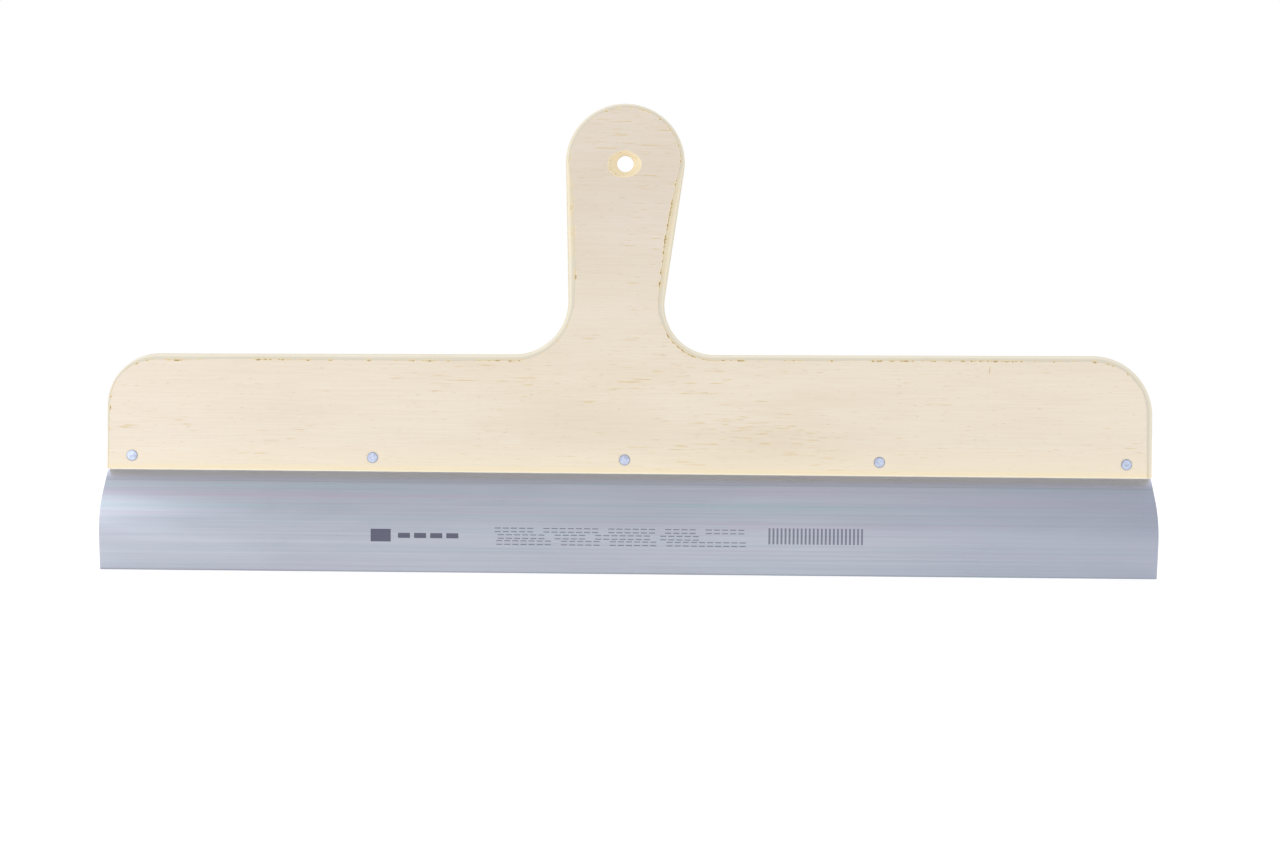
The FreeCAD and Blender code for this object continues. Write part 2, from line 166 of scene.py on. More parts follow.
def smooth_noise(count, width, seed):
    """A closed run of smooth random values between about -1 and 1, with features `width` samples long."""
    rng = np.random.default_rng(seed)
    spectrum = np.fft.rfft(rng.standard_normal(count))
    waves = np.arange(len(spectrum)) * width / count
    spectrum *= np.exp(-0.5 * (waves * 2.2) ** 2)
    values = np.fft.irfft(spectrum, count)
    return values / (2.2 * values.std() + 1e-12)


# ---------------------------------------------------------------- outline of the handle

def heading(angle):
    return np.array([math.cos(angle), math.sin(angle)])


def crossing(point, direction, other, other_direction):
    matrix = np.array([direction, -other_direction]).T
    along, _ = np.linalg.solve(matrix, other - point)
    return point + direction * along


def line_run(start, end, step):
    """Points from start up to but not including end, with the outward normals to the right of travel."""
    length = np.linalg.norm(end - start)
    count = max(2, round(length / step))
    share = np.arange(count)[:, None] / count
    direction = (end - start) / length
    normal = np.array([direction[1], -direction[0]])
    return start + (end - start) * share, np.repeat(normal[None], count, axis=0)


def arc_run(centre, radius, first, turn, step):
    """Points round an arc, its end left out. A left turn (turn > 0) bulges outward."""
    count = max(6, round(abs(turn) * radius / step))
    angles = first + turn * np.arange(count) / count
    spokes = np.stack([np.cos(angles), np.sin(angles)], axis=1)
    return centre + radius * spokes, spokes * np.sign(turn)


def corner_arc(corner, heading_in, heading_out, radius):
    """Centre, first angle and turn of the arc that rounds a corner, and its two tangent points."""
    turn = (heading_out - heading_in + math.pi) % (2 * math.pi) - math.pi
    side = math.copysign(1, turn)
    offset_in = heading(heading_in + math.pi / 2) * radius * side
    offset_out = heading(heading_out + math.pi / 2) * radius * side
    centre = crossing(corner + offset_in, heading(heading_in), corner + offset_out, heading(heading_out))
    first = heading_in - side * math.pi / 2
    return centre, first, turn, centre - offset_in, centre - offset_out


def board_outline(step=0.0007):
    """Points and outward normals round the tee, and which of them lie on the square lower edge."""
    left_top = np.array([LEFT + CORNER_LEFT, SHOULDER_LEFT])
    right_top = np.array([RIGHT - CORNER_RIGHT, SHOULDER_RIGHT])
    slope = math.atan2(*(right_top - left_top)[::-1])
    up_right = math.pi / 2 - LEAN_RIGHT
    up_left = math.pi / 2 + LEAN_LEFT
    head_right = heading(up_right - math.pi / 2) * HEAD_RADIUS
    head_left = heading(up_left + math.pi / 2) * HEAD_RADIUS
    top = heading(slope)
    corner_right = crossing(right_top, top, np.array([RIGHT, 0.0]), heading(math.pi / 2))
    corner_left = crossing(left_top, top, np.array([LEFT, 0.0]), heading(math.pi / 2))
    neck_right = crossing(right_top, top, head_right, heading(up_right))
    neck_left = crossing(left_top, top, head_left, heading(up_left))
    arcs = [
        (CORNER_RIGHT, corner_arc(corner_right, math.pi / 2, math.pi + slope, CORNER_RIGHT)),
        (NECK_RIGHT, corner_arc(neck_right, math.pi + slope, up_right, NECK_RIGHT)),
        (NECK_LEFT, corner_arc(neck_left, up_left + math.pi, math.pi + slope, NECK_LEFT)),
        (CORNER_LEFT, corner_arc(corner_left, math.pi + slope, 1.5 * math.pi, CORNER_LEFT)),
    ]
    low_left, low_right = np.array([LEFT, LOWER]), np.array([RIGHT, LOWER])

    def rounded(index):
        radius, (centre, first, turn, _, _) = arcs[index]
        return arc_run(centre, radius, first, turn, step)

    enter = [arc[3] for _, arc in arcs]
    leave = [arc[4] for _, arc in arcs]
    head_turn = math.pi + up_left - up_right
    runs = [
        line_run(low_left, low_right, 3 * step),
        line_run(low_right, enter[0], step),
        rounded(0),
        line_run(leave[0], enter[1], step),
        rounded(1),
        line_run(leave[1], head_right, step),
        arc_run(np.zeros(2), HEAD_RADIUS, up_right - math.pi / 2, head_turn, step),
        line_run(head_left, enter[2], step),
        rounded(2),
        line_run(leave[2], enter[3], step),
        rounded(3),
        line_run(leave[3], low_left, step),
    ]
    # the corner points belong to the sides, so that the sides' inset moves them along the lower edge
    runs[0] = (runs[0][0][1:], runs[0][1][1:])
    runs.append((low_left[None], np.array([[-1.0, 0.0]])))
    points = np.concatenate([run[0] for run in runs])
    normals = np.concatenate([run[1] for run in runs])
    is_lower = np.zeros(len(points), bool)
    is_lower[: len(runs[0][0])] = True
    return points, normals, is_lower


OUTLINE, NORMALS, IS_LOWER = board_outline()


def band_width():
    """How wide the rounded band is seen from the front. It was run by hand and is far from even."""
    x, z = OUTLINE.T
    grip = np.sqrt(np.clip(1 - np.abs(z - GRIP_MIDDLE) / GRIP_REACH, 0, 1))
    shoulder = np.clip((NECK_START - z) / NECK_BLEND, 0, 1)
    on_shoulder = np.where(x < 0, BAND_LEFT_SHOULDER, BAND_RIGHT_SHOULDER)
    width = BAND_HEAD + (BAND_GRIP - BAND_HEAD) * grip
    width += (on_shoulder - width) * shoulder
    width += (BAND_LEFT_END - width) * np.clip(1 - (x - LEFT) / CORNER_LEFT, 0, 1)
    width += (BAND_RIGHT_END - width) * np.clip(1 - (RIGHT - x) / CORNER_RIGHT, 0, 1)
    return width * (1 + BAND_WANDER * smooth_noise(len(x), 60, 11))


BAND = band_width()


def inset_ring(inset, depth, side):
    """The outline moved inward, at a depth under the front (side -1) or back (side 1) face."""
    inset = np.broadcast_to(inset, len(OUTLINE)).copy()
    points = OUTLINE - NORMALS * inset[:, None]
    low_right = points[IS_LOWER.sum(), 0]
    low_left = points[-1, 0]
    share = (OUTLINE[IS_LOWER, 0] - LEFT) / (RIGHT - LEFT)
    points[IS_LOWER, 0] = low_left + share * (low_right - low_left)
    points[IS_LOWER, 1] = LOWER
    depths = np.broadcast_to(depth, len(points))
    return np.column_stack([points[:, 0], side * (HALF - depths), points[:, 1]])


def chip_weight(side):
    """How likely the veneer is to have broken out along the step, at each outline point."""
    x, z = OUTLINE.T
    weight = np.full(len(OUTLINE), CHIPPED_EVERYWHERE)
    for more, from_x, to_x, from_z, to_z in CHIPPED:
        weight += more * ((x > from_x) & (x < to_x) & (z > from_z) & (z < to_z))
    if side > 0:
        weight = weight[::-1] * BACK_CHIPS
    return np.where(IS_LOWER, 0.0, weight)


def torn_grain(seed):
    """Yellowed, torn end grain along both sides of the grip, from 0 to 1 at each outline point."""
    x, z = OUTLINE.T
    centre, reach = np.where(x > 0, np.array(TORN_RIGHT)[:, None], np.array(TORN_LEFT)[:, None])
    zone = np.clip(1.8 - 1.8 * np.abs(z - centre) / reach, 0, 1)
    patchy = 0.66 + 0.34 * smooth_noise(len(OUTLINE), 6, seed)
    return np.clip(zone * patchy, 0, 1) * (np.abs(x) < 0.03)


def chips(side, seed):
    """Depth of the small break-outs along the step, from 0 to 1, at each outline point."""
    rng = np.random.default_rng(seed)
    count = len(OUTLINE)
    result = np.zeros(count)
    weight = chip_weight(side)
    index = np.arange(count)
    for centre in rng.choice(count, CHIPS, p=weight / weight.sum()):
        reach = rng.uniform(0.8, 2.4)
        size = rng.uniform(0.25, 1.0)
        gap = np.abs((index - centre + count // 2) % count - count // 2)
        result = np.maximum(result, size * np.clip(1.2 - gap / reach, 0, 1))
    return result


# ---------------------------------------------------------------- mesh of one layer

def inside_loop(points, loop):
    """Even-odd test of many points against one closed loop, both flat."""
    result = np.zeros(len(points), bool)
    for (ax, ay), (bx, by) in zip(loop, np.roll(loop, -1, axis=0)):
        if ay == by:
            continue
        spans = (points[:, 1] < ay) != (points[:, 1] < by)
        cross = ax + (points[:, 1] - ay) * (bx - ax) / (by - ay)
        result ^= spans & (points[:, 0] < cross)
    return result


def cap_faces(vertices, outer, holes, free):
    """Triangles that fill a flat cap between its outer loop and its holes."""
    loops = [outer] + holes
    ids = [i for loop in loops for i in loop] + list(free)
    place = {vertex: i for i, vertex in enumerate(ids)}
    edges = [(place[a], place[b]) for loop in loops for a, b in zip(loop, loop[1:] + loop[:1])]
    flat = [Vector((vertices[i][0], vertices[i][2])) for i in ids]
    _, _, faces, origins, _, _ = delaunay_2d_cdt(flat, edges, [], 1, 1e-9)
    faces = [[ids[origins[i][0]] for i in face] for face in faces]
    corners = np.array([[vertices[i] for i in face] for face in faces])[:, :, [0, 2]]
    middles = corners.mean(axis=1)
    keep = inside_loop(middles, np.array([vertices[i] for i in outer])[:, [0, 2]])
    for hole in holes:
        keep &= ~inside_loop(middles, np.array([vertices[i] for i in hole])[:, [0, 2]])
    return [face for face, kept in zip(faces, keep) if kept]


class Layer:
    """A closed sheet with rings down its outer wall and down each hole's wall, and two caps."""

    def __init__(self):
        self.vertices = []
        self.faces = []
        self.wear_and_shade = []
        self.painted_light_and_glue = []

    def add_ring(self, ring, wear_and_shade=0.0, painted_light_and_glue=1.0):
        first = len(self.vertices)
        self.vertices.extend(map(tuple, ring))
        self.wear_and_shade.extend(np.broadcast_to(wear_and_shade, len(ring)).tolist())
        self.painted_light_and_glue.extend(np.broadcast_to(painted_light_and_glue, len(ring)).tolist())
        return list(range(first, first + len(ring)))

    def add_wall(self, rings, wear_and_shade=None, painted_light_and_glue=None):
        """Joins rings into a wall and returns its first and last ring."""
        wear_and_shade = wear_and_shade or [0.0] * len(rings)
        painted_light_and_glue = painted_light_and_glue or [1.0] * len(rings)
        loops = [self.add_ring(*values) for values in zip(rings, wear_and_shade, painted_light_and_glue)]
        for upper, lower in zip(loops, loops[1:]):
            for i, j in zip(range(len(upper)), list(range(1, len(upper))) + [0]):
                self.faces.append((upper[i], upper[j], lower[j], lower[i]))
        return loops[0], loops[-1]

    def close(self, outer, holes, free_first=(), free_last=()):
        for end, free in ((0, free_first), (1, free_last)):
            inner = [hole[end] for hole in holes]
            self.faces.extend(cap_faces(self.vertices, outer[end], inner, free))

    def make(self, name):
        mesh = bpy.data.meshes.new(name)
        mesh.from_pydata(self.vertices, [], self.faces)
        add_attribute(mesh, "wear_and_shade", self.wear_and_shade)
        # Per-point tone scale: painted light and shade on the rounded edge and in the holes, darker glue
        # lines at the ply joints
        add_attribute(mesh, "painted_light_and_glue", self.painted_light_and_glue)
        return finish_mesh(mesh, name)


def add_attribute(mesh, name, values):
    attribute = mesh.attributes.new(name, "FLOAT", "POINT")
    attribute.data.foreach_set("value", np.array(values, dtype=np.float32))


def finish_mesh(mesh, name, sharp_deg=32):
    """Closes, orients and shades a mesh, and adds its object to the scene."""
    work = bmesh.new()
    work.from_mesh(mesh)
    bmesh.ops.remove_doubles(work, verts=work.verts, dist=1e-7)
    bmesh.ops.recalc_face_normals(work, faces=work.faces)
    work.to_mesh(mesh)
    work.free()
    mesh.shade_smooth()
    mesh.set_sharp_from_angle(angle=math.radians(sharp_deg))
    piece = bpy.data.objects.new(name, mesh)
    bpy.context.scene.collection.objects.link(piece)
    return piece


def turns(count):
    """So many angles once round, from 0."""
    return np.arange(count) * 2 * math.pi / count


def circle(centre, radius, count, side, depth):
    """A ring about a Y axis. Radius and depth may differ from point to point."""
    angles = turns(count)
    radius = np.broadcast_to(radius, count)
    depth = np.broadcast_to(depth, count)
    x = centre[0] + radius * np.cos(angles)
    z = centre[1] + radius * np.sin(angles)
    return np.column_stack([x, side * (HALF - depth), z])


# ---------------------------------------------------------------- the five plies

def round_inset(depth):
    """How far the rounded edge stands in at a depth under the face."""
    down = np.clip((depth - STEP_DEPTH) / ROUND_DEPTH, 0, 1)
    return BAND * (1 - np.sqrt(1 - (1 - down) ** 2))


def sink_ring(side, depth, seed, wider=0.0):
    """A ring of the torn countersink, which wanders off the bore's centre towards the face."""
    open_share = 1 - depth / SINK
    angles = turns(SINK_POINTS)
    torn = 0.00018 * smooth_noise(SINK_POINTS, 3, seed) + 0.00025 * smooth_noise(SINK_POINTS, 8, 79)
    torn += 0.00050 * smooth_noise(SINK_POINTS, 26, 77)
    at_left = np.exp(-((np.cos(angles) + 1) / 0.12) ** 2)
    torn += 0.0009 * at_left * np.abs(smooth_noise(SINK_POINTS, 4, 78))
    raggedness = min(1.0, 1.8 * open_share) * (1.0 if side < 0 else 0.6)
    spread = SINK_SPREAD + SINK_SPREAD_ALONG * np.abs(np.cos(angles)) ** 3
    radius = BORE + (SINK - depth) * spread + torn * raggedness
    return circle(SINK_OFFSET * open_share, radius + wider, SINK_POINTS, side, depth)


def rivet_place(name):
    low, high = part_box(name)
    return (low.x + high.x) / 2, (low.z + high.z) / 2


def press_depth(radius):
    """The wood's hollow round a rivet head, from the blows that set it."""
    return PRESS_DEPTH * math.exp(-(((radius - RIVET_HEAD) / PRESS_REACH) ** 2))


def rivet_rings(layer, place, side, depths):
    """A rivet's hole, which narrows from the head's width to the shank's at the head's depth."""
    radii = [RIVET_HEAD if depth < RIVET_HEAD_DEPTH else SHANK for depth in depths]
    return layer.add_wall([circle(place, r, RIVET_HOLE_POINTS, side, d) for r, d in zip(radii, depths)])


def pressed_rings(layer, side):
    """Points on the face round each rivet, where the wood is pressed in."""
    free = []
    for name in RIVETS:
        for gap in (0.0002, 0.0005, 0.0009, 0.0014):
            radius = RIVET_HEAD + gap
            ring = circle(rivet_place(name), radius, RIVET_HOLE_POINTS, side, press_depth(radius))
            free += layer.add_ring(ring)
    return free


def nick_points(layer):
    """A short upright cut in the front face, under the right shoulder."""
    free = []
    share = np.linspace(-1, 1, 11)
    height = NICK[1] + NICK_HALF_LENGTH * share
    lean = NICK[0] + NICK_LEAN * share
    for offset, deep in NICK_PROFILE:
        depth = deep * (1 - share**2)
        ring = np.column_stack([lean + offset, depth - HALF, height])
        free += layer.add_ring(ring, wear_and_shade=np.where(depth > 0, 0.9, 0.0))
    return free


def veneer_edge(side, seed):
    """Rings down the outer wall with their wear and painted light and shade: the broken step, then
    the rounded edge.
    """
    broken = chips(side, seed)
    ragged = 0.00010 * smooth_noise(len(OUTLINE), 3, seed + 1)
    ragged += 0.00018 * smooth_noise(len(OUTLINE), 14, seed + 2)
    ragged = np.where(IS_LOWER, 0.0, ragged)
    edge = BAND + ragged + CHIP_WIDTH * broken
    rings = [
        inset_ring(edge + CLEAN_RIM, 0.0, side),
        inset_ring(edge, 0.0, side),
        inset_ring(edge - 0.00004, STEP_DEPTH * (1 + 0.5 * broken), side),
        inset_ring(BAND * 0.90 + ragged * 0.4 + 0.0002 * broken, STEP_DEPTH * 1.15, side),
    ]
    yellow = 0.30 * torn_grain(seed + 5)
    specks = np.clip(smooth_noise(len(OUTLINE), 2, seed + 6) - 0.35, 0, 1) * (yellow > 0.15)
    rim_wear = np.maximum(0.9 * broken, 0.6 * yellow)
    wear_and_shade = [0.0, rim_wear, 0.05 + 0.95 * broken, np.maximum(0.6 * broken, yellow)]
    # Painted shade along the step's line, then painted light and shade across the rounded edge, none on
    # the square lower edge
    line = np.where(IS_LOWER, 1.0, STEP_LINE_PAINTED_SHADE)
    painted_light_and_glue = [1.0, 1.0, line, line]
    for share, light in BAND_PAINTED_LIGHT_AND_SHADE:
        depth = STEP_DEPTH + (FACE_PLY - STEP_DEPTH) * share
        rings.append(inset_ring(round_inset(depth), depth, side))
        in_line = share == BAND_PAINTED_LIGHT_AND_SHADE[0][0]
        wear_and_shade.append(np.clip(yellow * (1.5 - 2.2 * share) + 0.5 * specks * in_line, 0, 1))
        painted_light_and_glue.append(np.where(IS_LOWER, 1.0, light))
    splinters = 0.00009 * np.clip(smooth_noise(len(OUTLINE), 2, seed + 3), 0, 1)
    rings[0][IS_LOWER, 2] += CLEAN_RIM
    rings[1][IS_LOWER, 2] += splinters[IS_LOWER]
    return rings, wear_and_shade, painted_light_and_glue


def veneer_sink(side, seed):
    """Rings down this sheet's part of the countersink, with their wear and painted light and shade."""
    depths = np.linspace(0, FACE_PLY, 6)
    rings = [sink_ring(side, 0.0, seed, SINK_RIM)]
    rings += [sink_ring(side, depth, seed + i) for i, depth in enumerate(depths)]
    flecks = np.clip(smooth_noise(SINK_POINTS, 3, seed + 20), 0, 1)
    toward_left = np.clip(-np.cos(turns(SINK_POINTS)), 0.15, 1)
    torn = 0.28 + 0.75 * flecks * toward_left
    wear_and_shade = [0.0, 0.24, torn, torn, torn, torn, SINK_WEAR]
    return rings, wear_and_shade, SINK_PAINTED_LIGHT_AND_SHADE


def face_veneer(name, side, seed):
    """The outer sheet: its face, most of the rounded edge and most of the countersink."""
    layer = Layer()
    outer = layer.add_wall(*veneer_edge(side, seed))
    sink = layer.add_wall(*veneer_sink(side, seed + 10))
    rivet_depths = (press_depth(RIVET_HEAD), RIVET_HEAD_DEPTH, FACE_PLY)
    holes = [rivet_rings(layer, rivet_place(rivet), side, rivet_depths) for rivet in RIVETS]
    free = pressed_rings(layer, side) + (nick_points(layer) if side < 0 else [])
    layer.close(outer, [sink] + holes, free_first=free)
    return layer.make(name)


def crossband(name, side, seed):
    """The sheet under the face veneer, with the rest of the rounded edge."""
    layer = Layer()
    inner = HALF - CORE_HALF
    rounded = STEP_DEPTH + ROUND_DEPTH - FACE_PLY
    depths = [FACE_PLY + rounded * share for share in (0, 0.3, 0.65, 1.0)] + [inner]
    rings = [inset_ring(round_inset(depth), depth, side) for depth in depths]
    # Darker glue lines at both of the crossband's joints, and painted shade on its rings between them
    outer = layer.add_wall(rings, None, CROSSBAND_GLUE_AND_PAINTED_SHADE)
    sink_depths = np.linspace(FACE_PLY, inner, 5)
    rings = [sink_ring(side, d, seed + i) for i, d in enumerate(sink_depths)]
    sink = layer.add_wall(rings, [SINK_WEAR] * len(rings))
    holes = [rivet_rings(layer, rivet_place(rivet), side, (FACE_PLY, inner)) for rivet in RIVETS]
    layer.close(outer, [sink] + holes)
    return layer.make(name)


def cut_with(piece, cutters):
    """Cuts other meshes out of a piece and deletes them."""
    for cutter in cutters:
        modifier = piece.modifiers.new("cut", "BOOLEAN")
        modifier.operation = "DIFFERENCE"
        modifier.solver = "EXACT"
        modifier.object = cutter
    depsgraph = bpy.context.evaluated_depsgraph_get()
    mesh = bpy.data.meshes.new_from_object(piece.evaluated_get(depsgraph))
    piece.modifiers.clear()
    old, piece.data = piece.data, mesh
    mesh.name = piece.name
    bpy.data.meshes.remove(old)
    for cutter in cutters:
        bpy.data.meshes.remove(cutter.data)


def core_ply(name):
    """The middle sheet, with the kerf sawn out of its lower edge."""
    layer = Layer()
    near, far = HALF - CORE_HALF, HALF + CORE_HALF
    depths = [near, HALF - CORE_HALF / 3, HALF + CORE_HALF / 3, far]
    outer = layer.add_wall([inset_ring(0.0, depth, -1) for depth in depths], None, CORE_SHADES)
    bore_depths = (near, near + BORE_CHAMFER, far - BORE_CHAMFER, far)
    bore_radii = (BORE + BORE_CHAMFER, BORE, BORE, BORE + BORE_CHAMFER)
    bore_rings = [circle((0, 0), r, BORE_POINTS, -1, d) for r, d in zip(bore_radii, bore_depths)]
    # The bore's wall: yellowed torn wood, and painted shade down inside the hole
    bore = layer.add_wall(bore_rings, [0.45] * 4, [0.85] * 4)
    holes = []
    for rivet in RIVETS:
        rings = [circle(rivet_place(rivet), SHANK, SHANK_HOLE_POINTS, -1, depth) for depth in depths]
        holes.append(layer.add_wall(rings))
    layer.close(outer, [bore] + holes)
    piece = layer.make(name)
    margin = 0.002
    saw = box_mesh(
        "saw",
        (LEFT - margin, -THICKNESS / 2, LOWER - margin),
        (RIGHT + margin, THICKNESS / 2, LOWER + KERF_DEPTH),
    )
    cut_with(piece, [saw])
    return piece


def box_mesh(name, low, high):
    mesh = bpy.data.meshes.new(name)
    work = bmesh.new()
    size = Vector(high) - Vector(low)
    place = Matrix.Translation((Vector(low) + Vector(high)) / 2) @ Matrix.Diagonal((*size, 1))
    bmesh.ops.create_cube(work, size=1, matrix=place)
    work.to_mesh(mesh)
    work.free()
    piece = bpy.data.objects.new(name, mesh)
    bpy.context.scene.collection.objects.link(piece)
    return piece


# ---------------------------------------------------------------- blade

def blade_path():
    """Points (Y, Z), rightward normals and distances down the middle of the sheet, from root to tip."""
    points = [np.array([0.0, LOWER + KERF_DEPTH])]
    headings = [1.5 * math.pi]

    def go(length, turn, count):
        for _ in range(count):
            headings.append(headings[-1] + turn / count)
            middle = (headings[-1] + headings[-2]) / 2
            chord = length / count
            if turn:
                chord *= math.sin(turn / count / 2) / (turn / count / 2)
            points.append(points[-1] + heading(middle) * chord)

    go(KERF_DEPTH, 0, 5)
    go(BEND_RADIUS * RAMP_ANGLE, -RAMP_ANGLE, 5)
    go(RAMP_LENGTH, 0, 6)
    turn = RAMP_ANGLE + TIP_ANGLE
    go(ROLL_RADIUS * turn, turn, 20)
    drop = points[-1][1] - BLADE_LOW.z - THICKNESS / 2 * math.sin(TIP_ANGLE)
    length = drop / math.cos(TIP_ANGLE)
    go(length - GROUND_LENGTH, 0, 9)
    go(GROUND_LENGTH, 0, 3)
    normals = np.array([heading(angle + math.pi / 2) for angle in headings])
    points = np.array(points)
    distance = np.concatenate([[0], np.cumsum(np.linalg.norm(np.diff(points, axis=0), axis=1))])
    return points, normals, distance


def blade_wave():
    """The sheet's slight waviness along its length, all to one side."""
    wave = BROAD_WAVE * smooth_noise(2 * BLADE_COLUMNS, 26, 5)[:BLADE_COLUMNS]
    wave = wave + SHORT_WAVE * smooth_noise(2 * BLADE_COLUMNS, 9, 6)[:BLADE_COLUMNS]
    return wave - (wave.min() - LEAST_WAVE)


def sheet_faces(height, count):
    """Quads round the sheet, a closed loop of rows, and at its two ends."""
    faces = []
    columns = BLADE_COLUMNS
    for row in range(height):
        below = (row + 1) % height
        for col in range(columns - 1):
            upper, lower = row * columns + col, below * columns + col
            faces.append((upper, upper + 1, lower + 1, lower))
    for col in (0, columns - 1):
        for row in range(count - 1):
            corners = (row, row + 1, height - 2 - row, height - 1 - row)
            faces.append([corner * columns + col for corner in corners])
    return faces


def blade(name):
    """The rolled sheet, slightly wavy as thin steel is, thinned by grinding at its edge."""
    path, normals, distance = blade_path()
    across = np.linspace(BLADE_LOW.x, BLADE_HIGH.x, BLADE_COLUMNS)
    free = np.clip((distance - KERF_DEPTH) / WAVE_START, 0, 1)
    wave = blade_wave()
    ground = np.clip(1 - (distance[-1] - distance) / GROUND_LENGTH, 0, 1)
    half = THICKNESS / 2 - (THICKNESS - TIP_THICKNESS) / 2 * ground
    surfaces = []
    for side in (1, -1):
        offset = side * half[:, None] + wave[None, :] * free[:, None]
        y = path[:, 0, None] + normals[:, 0, None] * offset
        z = path[:, 1, None] + normals[:, 1, None] * offset
        x = np.broadcast_to(across, y.shape)
        surfaces.append(np.stack([x, y, z], axis=2))
    front, back = surfaces
    loops = np.concatenate([front, back[::-1]])
    mesh = bpy.data.meshes.new(name)
    vertices = [tuple(vertex) for vertex in loops.reshape(-1, 3)]
    mesh.from_pydata(vertices, [], sheet_faces(len(loops), len(path)))
    add_attribute(mesh, "wear_and_shade", np.repeat(np.concatenate([ground, ground[::-1]]), BLADE_COLUMNS))
    return finish_mesh(mesh, name, sharp_deg=25)


# ---------------------------------------------------------------- rivets

def facet_dents(share, facets):
    """How deep the hammer's facets are on one ring of a head, given as a share of its radius."""
    angles = turns(RIVET_POINTS)
    dents = np.zeros(RIVET_POINTS)
    for turn, out, size in facets:
        gap_x = share * np.cos(angles) - out * math.cos(turn)
        gap_z = share * np.sin(angles) - out * math.sin(turn)
        gap = np.hypot(gap_x, gap_z)
        dents += FACET_DEPTH * size * np.exp(-((gap / FACET_REACH) ** 2))
    return dents


def head_rings(centre, side, crown, rng):
    """Rings from the crown of a head out to its edge and in to the shank, and the painted shade on its
    rim.
    """
    facets = []
    for _ in range(FACET_COUNT):
        facets.append((rng.uniform(0, 2 * math.pi), rng.uniform(0.1, 0.8), rng.uniform(0.3, 0.9)))
    rings, wear_and_shade = [], []
    for share in (0.12, 0.3, 0.48, 0.66, 0.82, 0.93, 1.0):
        dents = facet_dents(share, facets) if share < 1 else EDGE_SINK
        depth = dents - crown * (1 - share**2)
        rings.append(circle(centre, RIVET_HEAD * share - RIVET_GAP, RIVET_POINTS, side, depth))
        # Painted shade on the head's outer rim and on the shank, where it meets the wood
        wear_and_shade.extend([max(0.0, (share - 0.8) / 0.2)] * RIVET_POINTS)
    rings.append(circle(centre, SHANK - RIVET_GAP, RIVET_POINTS, side, RIVET_HEAD_DEPTH))
    wear_and_shade.extend([1.0] * RIVET_POINTS)
    return rings, wear_and_shade


def band_faces(upper, lower):
    """Quads between two rings of the same number of points."""
    return [(upper[i - 1], upper[i], lower[i], lower[i - 1]) for i in range(len(upper))]


def rivet(node, number):
    """A soft aluminium rivet: crowned heads with hammer facets, and the shank between them."""
    name = f"{node}_body"
    centre = rivet_place(node)
    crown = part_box(node)[1].y - HALF
    rng = np.random.default_rng(40 + number)
    vertices, faces, wear_and_shade, shank_ends = [], [], [], []
    for side in (-1, 1):
        rings, ring_rim_shade = head_rings(centre, side, crown, rng)
        loops = []
        for ring in rings:
            loops.append(range(len(vertices), len(vertices) + RIVET_POINTS))
            vertices.extend(map(tuple, ring))
        middle = len(vertices)
        vertices.append((centre[0], side * (HALF + crown * 0.97), centre[1]))
        wear_and_shade += ring_rim_shade + [0.0]
        faces += [(loops[0][i - 1], loops[0][i], middle) for i in range(RIVET_POINTS)]
        for upper, lower in zip(loops, loops[1:]):
            faces += band_faces(upper, lower)
        shank_ends.append(loops[-1])
    faces += band_faces(*shank_ends)
    mesh = bpy.data.meshes.new(name)
    mesh.from_pydata(vertices, [], faces)
    add_attribute(mesh, "wear_and_shade", wear_and_shade)
    return finish_mesh(mesh, name, sharp_deg=40)


# ---------------------------------------------------------------- materials

